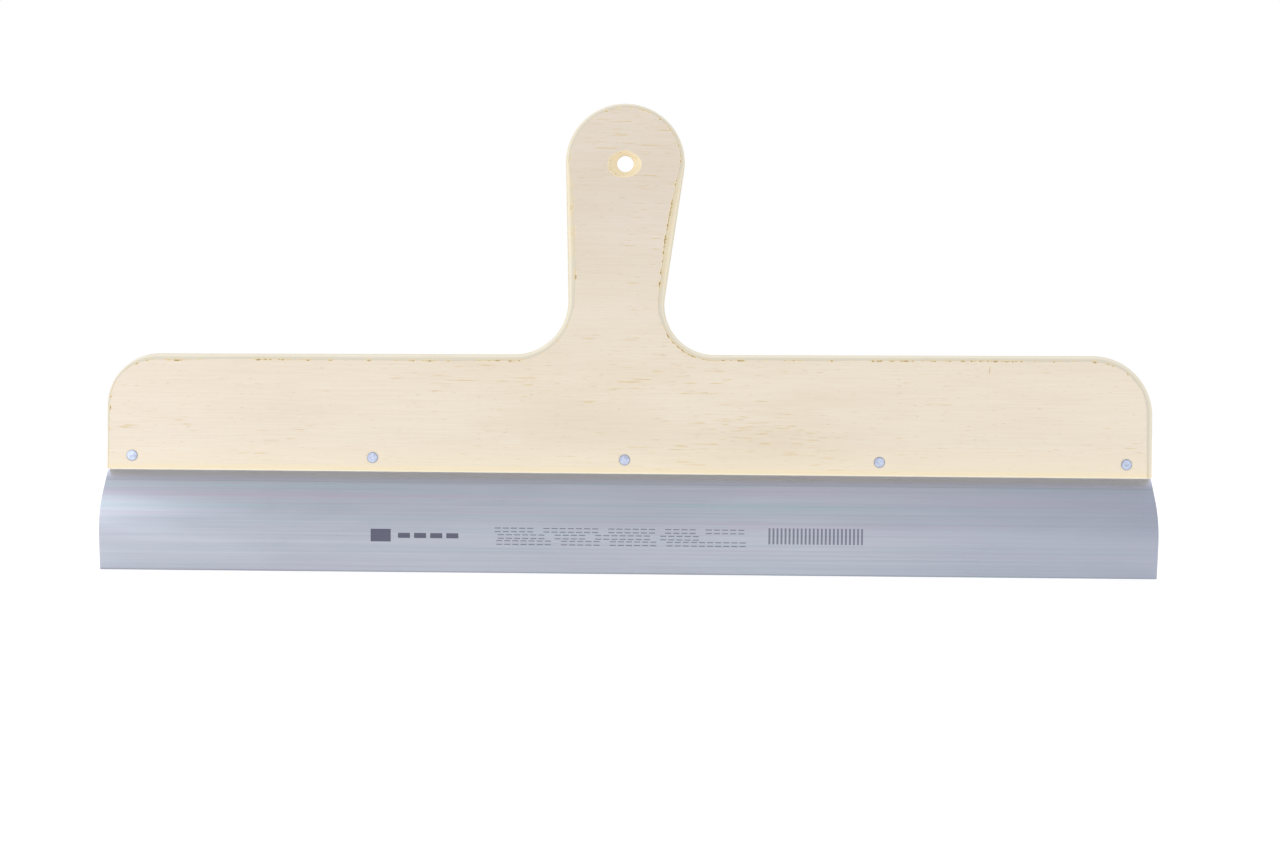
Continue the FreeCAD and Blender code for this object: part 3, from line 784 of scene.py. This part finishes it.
class Graph:
    """A short way to build a material's node tree."""

    def __init__(self, name):
        self.material = bpy.data.materials.new(name)
        self.material.use_nodes = True
        self.tree = self.material.node_tree
        self.shader = self.tree.nodes["Principled BSDF"]
        self.place = self.node("ShaderNodeTexCoord").outputs["Object"]

    def node(self, kind, inputs=None, **settings):
        node = self.tree.nodes.new(kind)
        for key, value in settings.items():
            setattr(node, key, value)
        for key, value in (inputs or {}).items():
            self.put(node.inputs[key], value)
        return node

    def put(self, socket, value):
        if isinstance(value, bpy.types.NodeSocket):
            self.tree.links.new(value, socket)
        else:
            socket.default_value = value

    def set(self, name, value):
        self.put(self.shader.inputs[name], value)

    def math(self, operation, first, second=0.0, clamp=False):
        node = self.node("ShaderNodeMath", operation=operation, use_clamp=clamp)
        self.put(node.inputs[0], first)
        self.put(node.inputs[1], second)
        return node.outputs[0]

    def scaled(self, scale, shift=(0.0, 0.0, 0.0)):
        """The object's own coordinates, stretched: scale is in features per metre on each axis."""
        mapping = self.node("ShaderNodeMapping", {"Vector": self.place, "Scale": scale, "Location": shift})
        return mapping.outputs[0]

    def noise(self, scale, shift=(0.0, 0.0, 0.0), detail=2.0, rough=0.5, distortion=0.0):
        inputs = {"Vector": self.scaled(scale, shift), "Scale": 1.0, "Detail": detail}
        inputs.update({"Roughness": rough, "Distortion": distortion})
        return self.node("ShaderNodeTexNoise", inputs).outputs[0]

    def ramp(self, value, low, high, to_low=0.0, to_high=1.0):
        inputs = {"Value": value, "From Min": low, "From Max": high, "To Min": to_low, "To Max": to_high}
        return self.node("ShaderNodeMapRange", inputs).outputs[0]

    def mix(self, share, first, second, blend="MIX"):
        node = self.node("ShaderNodeMix", data_type="RGBA", blend_type=blend)
        self.put(node.inputs[0], share)
        self.put(node.inputs[6], first)
        self.put(node.inputs[7], second)
        return node.outputs[2]

    def tint(self, tone, colour, share, amount):
        """A tone with a colour laid over it by so much of a share."""
        return self.mix(self.math("MULTIPLY", share, amount), tone, colour)

    def attribute(self, name):
        return self.node("ShaderNodeAttribute", attribute_name=name).outputs["Fac"]

    def bump(self, height, distance, strength=1.0, onto=None):
        inputs = {"Height": height, "Distance": distance, "Strength": strength}
        node = self.node("ShaderNodeBump", inputs)
        if onto is not None:
            self.put(node.inputs["Normal"], onto)
        return node.outputs[0]

    def axis(self, vector, index):
        return self.node("ShaderNodeSeparateXYZ", {0: vector}).outputs[index]


def stretch(grain, along, across):
    """Scale for a feature that runs along the grain, which is the X or the Z axis."""
    return tuple(along if axis == grain else across for axis in range(3))


def rgb(red, green, blue):
    """A colour given as it looks on a screen, from 0 to 255, as the linear colour that a shader takes."""
    def linear(value):
        share = value / 255
        return share / 12.92 if share <= 0.04045 else ((share + 0.055) / 1.055) ** 2.4
    return linear(red), linear(green), linear(blue), 1.0


# Painted light lightening the wood towards both ends of the board, and painted shade darkening it up the
# grip
WOOD_RIGHT_PAINTED_LIGHT, WOOD_LEFT_PAINTED_LIGHT, END_PAINTED_LIGHT_SHARE = rgb(235, 223, 207), rgb(236, 224, 211), 0.55
GRIP_PAINTED_SHADE = (0.90, 0.90, 0.93, 1)
WOOD_FIBRE, WOOD_DASH, WOOD_PORE = rgb(188, 158, 116), rgb(208, 180, 104), rgb(172, 140, 92)
WOOD_CUT = rgb(233, 226, 207)
END_DARK, END_PALE = rgb(214, 196, 160), rgb(236, 224, 198)
WORN_PALE, WORN_YELLOW, WORN_DARK = rgb(238, 222, 188), rgb(204, 182, 136), rgb(128, 100, 70)

# Tones near the board's lower edge: heights above it where they start and are full, amount and colour:
# painted light on the lower board, a yellow tint, then a painted highlight along the edge
LOWER_EDGE_LIGHT_AND_TINT = [
    (0.016, 0.004, 0.40, rgb(243, 229, 201)),
    (0.0032, 0.0020, 0.40, rgb(242, 224, 180)),
    (0.0008, 0.0004, 0.60, rgb(250, 243, 216)),
]


def veneer_tone(g, grain, shift, pale, warm, right, left):
    """The broad changes of colour along the grain, with painted light towards both ends and painted shade
    up the grip.
    """
    broad = g.noise(stretch(grain, 9, 34), shift, detail=3.0, rough=0.55)
    tone = g.mix(g.ramp(broad, 0.30, 0.70), pale, warm)
    # Painted light towards each end
    tone = g.tint(tone, WOOD_RIGHT_PAINTED_LIGHT, right, END_PAINTED_LIGHT_SHARE)
    tone = g.tint(tone, WOOD_LEFT_PAINTED_LIGHT, left, END_PAINTED_LIGHT_SHARE)
    # Painted shade, darker and greyer up the grip
    grip_painted_shade = g.ramp(g.axis(g.place, 2), LOWER + 0.045, -0.02)
    return g.mix(grip_painted_shade, tone, g.mix(1.0, tone, GRIP_PAINTED_SHADE, "MULTIPLY"))


def wood_fibres(g, grain, shift):
    """Fine lines along the grain."""
    fibre = g.noise(stretch(grain, 26, 1300), shift, detail=4.0, rough=0.6)
    fine = g.noise(stretch(grain, 90, 3600), shift, detail=2.0, rough=0.6)
    return g.math("ADD", g.math("MULTIPLY", fibre, 0.6), g.math("MULTIPLY", fine, 0.4))


def wood_dashes(g, grain, shift, outward):
    """Short yellow dashes along the grain, in patches, and fewer towards the board's ends."""
    patches = g.noise(stretch(grain, 14, 34), (shift[0] + 3, shift[1], shift[2]), detail=2.0)
    dash = g.noise(stretch(grain, 95, 1400), (shift[0], shift[1] + 5, shift[2]), detail=1.0)
    limit = g.math("ADD", g.ramp(patches, 0.42, 0.64, 0.728, 0.612), g.math("MULTIPLY", outward, 0.05))
    return g.math("MULTIPLY", g.math("SUBTRACT", dash, limit), 9.0, clamp=True)


def cut_wood(g):
    """1 on the wood that the rounded edge and the holes have laid open, but not along the lower edge."""
    below_face = g.math("SUBTRACT", HALF, g.math("ABSOLUTE", g.axis(g.place, 1)))
    above_edge = g.ramp(g.axis(g.place, 2), LOWER, LOWER + 0.003)
    return g.math("MULTIPLY", g.ramp(below_face, 0.00018, 0.00024), above_edge)


def worn_tone(g, tone, wear_and_shade, shift):
    """Torn wood: pale where it is barely broken, then yellow, then dark."""
    blotch = g.noise((900, 900, 900), shift, detail=2.0)
    worn = g.math("MULTIPLY", wear_and_shade, g.ramp(blotch, 0.25, 0.7, 0.5, 1.0), clamp=True)
    tone = g.mix(g.ramp(worn, 0.0, 0.25), tone, WORN_PALE)
    tone = g.mix(g.ramp(worn, 0.30, 0.55), tone, WORN_YELLOW)
    return g.mix(g.ramp(worn, 0.55, 1.0, 0.0, 0.85), tone, WORN_DARK)


def wood(name, grain, shift, pale, warm, flecks=1.0):
    """Sanded, unfinished veneer with its grain along one axis and end grain where it is cut across."""
    g = Graph(name)
    x = g.axis(g.place, 0)
    right, left = g.ramp(x, MIDDLE + 0.10, RIGHT), g.ramp(x, MIDDLE - 0.06, LEFT)
    tone = veneer_tone(g, grain, shift, pale, warm, right, left)
    fibres = wood_fibres(g, grain, shift)
    tone = g.mix(g.ramp(fibres, 0.38, 0.62, 0.13, 0.0), tone, WOOD_FIBRE)
    dashes = wood_dashes(g, grain, shift, g.math("MAXIMUM", left, right))
    tone = g.tint(tone, WOOD_DASH, dashes, 0.55 * flecks)
    pore = g.noise(stretch(grain, 240, 2600), (shift[0] + 9, shift[1], shift[2]), detail=1.0)
    pores = g.ramp(pore, 0.70, 0.78)
    tone = g.tint(tone, WOOD_PORE, pores, 0.34 * flecks)
    tone = g.tint(tone, WOOD_CUT, cut_wood(g), 0.75)

    normal = g.node("ShaderNodeNewGeometry").outputs["True Normal"]
    end = g.ramp(g.math("ABSOLUTE", g.axis(normal, grain)), 0.35, 0.9)
    speck = g.noise((2600, 2600, 2600), shift, detail=2.0)
    tone = g.tint(tone, g.mix(g.ramp(speck, 0.35, 0.65), END_DARK, END_PALE), end, 0.7)
    wear_and_shade = g.attribute("wear_and_shade")
    tone = worn_tone(g, tone, wear_and_shade, shift)
    # Painted light on the lower board, a yellow tint, and a painted highlight along the lower edge
    for start, full, amount, colour in LOWER_EDGE_LIGHT_AND_TINT:
        tone = g.tint(tone, colour, g.ramp(g.axis(g.place, 2), LOWER + start, LOWER + full), amount)
    # Scaled by the per-point attribute: painted light and shade on the rounded edge and in the holes,
    # darker glue lines at the ply joints
    shaded = g.node("ShaderNodeVectorMath", {0: tone}, operation="SCALE")
    g.put(shaded.inputs["Scale"], g.attribute("painted_light_and_glue"))
    g.set("Base Color", shaded.outputs[0])

    g.set("Roughness", g.ramp(fibres, 0.3, 0.7, 0.52, 0.70))
    g.set("Specular IOR Level", 0.32)
    lines = g.bump(fibres, 0.00004, 0.6)
    hollows = g.math("ADD", g.math("MULTIPLY", dashes, -1.0), g.math("MULTIPLY", pores, -0.6))
    lines = g.bump(hollows, 0.00008, 0.7, lines)
    rough_end = g.math("MULTIPLY", speck, g.math("MAXIMUM", end, wear_and_shade))
    g.set("Normal", g.bump(rough_end, 0.00012, 0.8, lines))
    return g.material


# The maker's print, with no lettering: rows of paired strokes at these heights, each in words of so many
# strokes, a block of even upright bars to the right, and a plain block and dashes to the left
PRINT_START = MIDDLE - 0.0633
PRINT_ROWS = [
    (LOWER - 0.02675, 0.0, [5, 7, 6, 4, 5]),
    (LOWER - 0.02990, 0.0015, [6, 4, 7, 5]),
    (LOWER - 0.03275, 0.0007, [7, 5, 6, 10]),
]
PRINT_PITCH = 0.00383
PRINT_FILL, BARS_FILL, DASHES_FILL = 0.76, 0.5, 0.75
BARS_INK, ROWS_INK = 0.75, 0.8
STROKE_APART = 0.00085
STROKE_HALF = 0.00022
BARS_START, BARS_LENGTH = 0.1292, 0.0446
BARS_PITCH = 0.0019
BARS_HALF_HEIGHT = 0.0038
MARK_START, MARK_LENGTH, MARK_HALF_HEIGHT = -0.0585, 0.0095, 0.0030
DASHES_START, DASHES_LENGTH, DASHES_HALF_HEIGHT = -0.0456, 0.0290, 0.0012
DASHES_PITCH = 0.0076
MARK_MIDDLE, BARS_MIDDLE = LOWER - 0.0298, LOWER - 0.0286


def within(g, value, middle, half):
    """1 where a value lies within so much of a middle one, and 0 elsewhere."""
    node = g.node("ShaderNodeMath", operation="COMPARE")
    for socket, given in zip(node.inputs, (value, middle, half)):
        g.put(socket, given)
    return node.outputs[0]


def block(g, along, z, start, length, middle, half_height):
    """1 inside an upright rectangle, and 0 outside it."""
    across = within(g, along, start + length / 2, length / 2)
    return g.math("MULTIPLY", across, within(g, z, middle, half_height))


def repeated(g, along, pitch, fill):
    """1 on the first part of every pitch, and 0 on the rest of it."""
    return g.math("LESS_THAN", g.math("FRACT", g.math("DIVIDE", along, pitch)), fill)


def printed_rows(g, along, z):
    """Rows of short paired strokes, grouped like words."""
    total = 0.0
    for height, indent, words in PRINT_ROWS:
        from_indent = g.math("SUBTRACT", along, indent)
        cell = g.math("DIVIDE", from_indent, PRINT_PITCH)
        strokes = within(g, g.math("ABSOLUTE", g.math("SUBTRACT", z, height)), STROKE_APART, STROKE_HALF)
        row = 0.0
        first = 0
        for word in words:
            row = g.math("MAXIMUM", row, within(g, cell, first + word / 2, word / 2))
            first += word + 1
        row = g.math("MULTIPLY", row, repeated(g, from_indent, PRINT_PITCH, PRINT_FILL))
        total = g.math("MAXIMUM", total, g.math("MULTIPLY", strokes, row))
    return total


def printed(g):
    """How much ink lies on the front of the blade, from 0 to 1."""
    along = g.math("SUBTRACT", g.axis(g.place, 0), PRINT_START)
    z = g.axis(g.place, 2)
    bars = block(g, along, z, BARS_START, BARS_LENGTH, BARS_MIDDLE, BARS_HALF_HEIGHT)
    from_bars = g.math("SUBTRACT", along, BARS_START)
    bars = g.math("MULTIPLY", bars, repeated(g, from_bars, BARS_PITCH, BARS_FILL))
    dashes = block(g, along, z, DASHES_START, DASHES_LENGTH, MARK_MIDDLE, DASHES_HALF_HEIGHT)
    dashes = g.math("MULTIPLY", dashes, repeated(g, along, DASHES_PITCH, DASHES_FILL))
    mark = block(g, along, z, MARK_START, MARK_LENGTH, MARK_MIDDLE, MARK_HALF_HEIGHT)
    heavy = g.math("MAXIMUM", dashes, mark)
    rows = g.math("MULTIPLY", printed_rows(g, along, z), ROWS_INK)
    light = g.math("MAXIMUM", g.math("MULTIPLY", bars, BARS_INK), rows)
    normal = g.node("ShaderNodeNewGeometry").outputs["True Normal"]
    front = g.math("LESS_THAN", g.axis(normal, 1), 0.0)
    return g.math("MULTIPLY", g.math("MAXIMUM", heavy, light), front)


STEEL_DARK, STEEL_PALE = rgb(177, 181, 193), rgb(187, 192, 203)
HEAT_PINK, HEAT_TEAL = rgb(192, 180, 200), rgb(168, 188, 196)
STREAK_DARK, STREAK_PALE = rgb(132, 137, 150), rgb(214, 218, 228)
# The ground edge's tone, and painted shade for the right end of the blade
GROUND_STEEL, RIGHT_END_PAINTED_SHADE = rgb(118, 126, 138), rgb(163, 167, 184)
# Painted light and shade on the strip under the board: an even tone over it, brighter towards the board
STRIP_PAINTED_TONE, STRIP_ROOT_PAINTED_LIGHT, STRIP_BORDER = rgb(176, 178, 194), rgb(219, 222, 240), rgb(144, 150, 150)
INK = rgb(58, 58, 84)


def steel_tone(g, cloud, streak, fine):
    """The sheet's colour: clouds, faint heat colours, streaks, and painted shade darkening the right end.
    """
    hue = g.noise((5, 190, 330), (8, 0, 5), detail=3.0, rough=0.6)
    upper = g.ramp(g.axis(g.place, 2), LOWER - 0.030, LOWER - 0.008, 0.35, 1.0)
    tone = g.mix(g.ramp(cloud, 0.3, 0.7), STEEL_DARK, STEEL_PALE)
    tone = g.mix(g.math("MULTIPLY", g.ramp(hue, 0.54, 0.66, 0.0, 0.70), upper), tone, HEAT_PINK)
    tone = g.mix(g.math("MULTIPLY", g.ramp(hue, 0.46, 0.34, 0.0, 0.80), upper), tone, HEAT_TEAL)
    tone = g.mix(g.ramp(streak, 0.38, 0.62, 0.0, 0.18), tone, STREAK_DARK)
    tone = g.mix(g.ramp(fine, 0.35, 0.65, 0.0, 0.20), tone, STREAK_PALE)
    tone = g.tint(tone, GROUND_STEEL, g.attribute("wear_and_shade"), 0.75)
    # Painted shade, darker towards the right end
    return g.tint(tone, RIGHT_END_PAINTED_SHADE, g.ramp(g.axis(g.place, 0), MIDDLE + 0.09, RIGHT), 0.6)


def strip_tone(g, tone):
    """The strip right under the board: an even painted tone and painted light towards the board,
    with a darker line along its lower border.
    """
    z = g.axis(g.place, 2)
    # An even painted tone over the strip, then painted light towards the board
    tone = g.tint(tone, STRIP_PAINTED_TONE, g.ramp(z, LOWER - 0.0053, LOWER - 0.0048), 0.8)
    tone = g.tint(tone, STRIP_ROOT_PAINTED_LIGHT, g.ramp(z, LOWER - 0.0040, LOWER - 0.0006), 0.95)
    return g.tint(tone, STRIP_BORDER, within(g, z, LOWER - 0.0051, 0.00025), 0.4)


def steel(name):
    """Cold-rolled spring steel, streaked along the sheet, with the maker's print on its front."""
    g = Graph(name)
    streak = g.noise((2.6, 700, 1100), detail=5.0, rough=0.65)
    fine = g.noise((12, 3000, 4600), (4, 0, 0), detail=3.0, rough=0.7)
    cloud = g.noise((14, 50, 70), (1, 2, 3), detail=3.0, rough=0.5, distortion=0.6)
    ink = printed(g)
    tone = strip_tone(g, steel_tone(g, cloud, streak, fine))
    g.set("Base Color", g.tint(tone, INK, ink, 0.85))
    g.set("Metallic", g.math("SUBTRACT", 1.0, g.math("MULTIPLY", ink, 0.7)))
    rough = g.math("ADD", g.ramp(streak, 0.3, 0.7, 0.27, 0.33), g.ramp(cloud, 0.3, 0.7, -0.02, 0.02))
    g.set("Roughness", rough)
    g.set("Anisotropic", 0.85)
    normal = g.node("ShaderNodeNewGeometry").outputs["Normal"]
    across = g.node("ShaderNodeVectorMath", {0: normal, 1: (1, 0.1, 0.1)}, operation="CROSS_PRODUCT")
    g.set("Tangent", across.outputs[0])
    lines = g.bump(streak, 0.000012, 0.7)
    g.set("Normal", g.bump(fine, 0.000006, 0.6, lines))
    return g.material


METAL_DARK, METAL_PALE = rgb(186, 195, 218), rgb(214, 222, 242)
# The hammer blows' tone, and painted shade for each head's rim
BLOW_TONE, RIM_PAINTED_SHADE = rgb(160, 168, 190), rgb(120, 124, 134)


def aluminium(name):
    """Soft bright metal, scuffed by the hammer, with painted shade darkening each head's rim."""
    g = Graph(name)
    scuff = g.noise((1500, 1500, 1500), detail=3.0, rough=0.6)
    blow = g.noise((700, 700, 700), (2, 0, 1), detail=1.0)
    tone = g.mix(g.ramp(scuff, 0.35, 0.65), METAL_DARK, METAL_PALE)
    tone = g.mix(g.ramp(blow, 0.50, 0.68, 0.0, 0.5), tone, BLOW_TONE)
    # Painted shade darkening each head's rim
    g.set("Base Color", g.tint(tone, RIM_PAINTED_SHADE, g.attribute("wear_and_shade"), 0.8))
    g.set("Metallic", 1.0)
    g.set("Roughness", g.ramp(scuff, 0.3, 0.7, 0.26, 0.42))
    dents = g.bump(blow, 0.00012, 0.7)
    g.set("Normal", g.bump(scuff, 0.00002, 0.6, dents))
    return g.material


# ---------------------------------------------------------------- pieces

def show(piece, node, material):
    """Gives a piece its material and slot, and puts it in its node's place on the body."""
    piece.data.materials.clear()
    piece.data.materials.append(material)
    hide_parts(node)
    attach(piece, BODY)


FACE_WOOD = (rgb(231, 220, 203), rgb(225, 212, 192))
BAND_WOOD = (rgb(236, 226, 204), rgb(230, 217, 192))
CORE_WOOD = (rgb(240, 230, 208), rgb(233, 219, 192))


def make_pieces():
    """Every piece, with the seeds that keep the sheets different from one another."""
    face = wood("face_wood", X_AXIS, (0.0, 0.0, 0.0), *FACE_WOOD)
    band = wood("crossband_wood", Z_AXIS, (3.0, 1.0, 2.0), *BAND_WOOD, flecks=0.5)
    core = wood("core_wood", X_AXIS, (6.0, 4.0, 1.0), *CORE_WOOD, flecks=0.7)
    show(face_veneer("front_veneer_sheet", -1, 101), "front_face_veneer", face)
    show(crossband("front_crossband_sheet", -1, 211), "front_crossband", band)
    show(core_ply("core_sheet"), "core_ply", core)
    show(crossband("back_crossband_sheet", 1, 307), "back_crossband", band)
    show(face_veneer("back_veneer_sheet", 1, 401), "back_face_veneer", face)
    show(blade("blade_sheet"), "blade", steel("blade_steel"))
    metal = aluminium("rivet_metal")
    for number, name in enumerate(RIVETS):
        show(rivet(name, number), name, metal)


# ---------------------------------------------------------------- studio

# The camera as it was fitted to the photograph
CAMERA_DISTANCE = 0.700
CAMERA_LENS = 41.05
CAMERA_ROLL = math.radians(0.55)
AIM = Vector((MIDDLE + 0.0048, 0.0, LOWER + 0.0238))

# Lights: place, target, size and power
KNIFE = (MIDDLE, 0, LOWER)
LIGHTS = {
    "left_panel": ((-0.75, -0.85, 0.3), (0.0, -0.85, 0.3), (1.0, 1.2), 4.3),
    "rim_top": ((0.0, 0.7, 1.1), KNIFE, (1.6, 0.8), 4.5),
    "rim_left": ((-1.2, 0.5, 0.2), KNIFE, (0.8, 0.8), 0.6),
    "rim_right": ((1.2, 0.5, 0.2), KNIFE, (0.8, 0.8), 1.5),
}
SKY_COLOUR, SKY_STRENGTH = (0.97, 0.98, 1.0, 1), 0.90
WHITE = (1, 1, 1, 1)
FLOOR_DARK, FLOOR_PALE = (0.34, 0.34, 0.34, 1), (0.37, 0.37, 0.37, 1)
FLOOR_GLOW, FLOOR_RADIUS = 0.74, 12


def make_camera():
    data = bpy.data.cameras.new("camera")
    data.sensor_width = 36
    data.lens = CAMERA_LENS
    data.clip_start = 0.01
    camera = bpy.data.objects.new("camera", data)
    camera.location = AIM - Vector((0, CAMERA_DISTANCE, 0))
    level = Matrix.Rotation(math.pi / 2, 3, "X")
    camera.rotation_euler = (level @ Matrix.Rotation(CAMERA_ROLL, 3, "Z")).to_euler()
    bpy.context.scene.collection.objects.link(camera)
    bpy.context.scene.camera = camera


def make_light(name, place, target, size, power):
    data = bpy.data.lights.new(name, "AREA")
    data.shape = "RECTANGLE"
    data.size, data.size_y = size
    data.energy = power
    light = bpy.data.objects.new(name, data)
    light.location = place
    light.rotation_euler = (Vector(target) - Vector(place)).to_track_quat("-Z", "Y").to_euler()
    bpy.context.scene.collection.objects.link(light)


def make_floor():
    """Softly glowing paper under the knife."""
    mesh = bpy.data.meshes.new("floor")
    work = bmesh.new()
    bmesh.ops.create_circle(work, cap_ends=True, radius=FLOOR_RADIUS, segments=96)
    work.to_mesh(mesh)
    work.free()
    floor = bpy.data.objects.new("floor", mesh)
    floor.location.z = CAD_BOX[0].z
    bpy.context.scene.collection.objects.link(floor)
    g = Graph("floor_paper")
    g.set("Base Color", g.mix(g.noise((40, 40, 40)), FLOOR_DARK, FLOOR_PALE))
    g.set("Roughness", 0.9)
    g.set("Specular IOR Level", 0.1)
    g.set("Emission Color", WHITE)
    g.set("Emission Strength", FLOOR_GLOW)
    mesh.materials.append(g.material)


def make_world():
    """A white surround to look at, and a slightly dimmer one to light and reflect."""
    world = bpy.data.worlds.new("studio")
    bpy.context.scene.world = world
    world.use_nodes = True
    tree = world.node_tree
    tree.nodes.clear()
    skies = []
    for colour, strength in ((SKY_COLOUR, SKY_STRENGTH), (WHITE, 1.0)):
        sky = tree.nodes.new("ShaderNodeBackground")
        sky.inputs["Color"].default_value = colour
        sky.inputs["Strength"].default_value = strength
        skies.append(sky)
    path = tree.nodes.new("ShaderNodeLightPath")
    mix = tree.nodes.new("ShaderNodeMixShader")
    out = tree.nodes.new("ShaderNodeOutputWorld")
    tree.links.new(path.outputs["Is Camera Ray"], mix.inputs[0])
    tree.links.new(skies[0].outputs[0], mix.inputs[1])
    tree.links.new(skies[1].outputs[0], mix.inputs[2])
    tree.links.new(mix.outputs[0], out.inputs["Surface"])


def make_studio():
    make_floor()
    make_world()
    for name, settings in LIGHTS.items():
        make_light(name, *settings)
    bpy.context.scene.view_settings.view_transform = "Standard"


make_camera()
make_pieces()
make_studio()
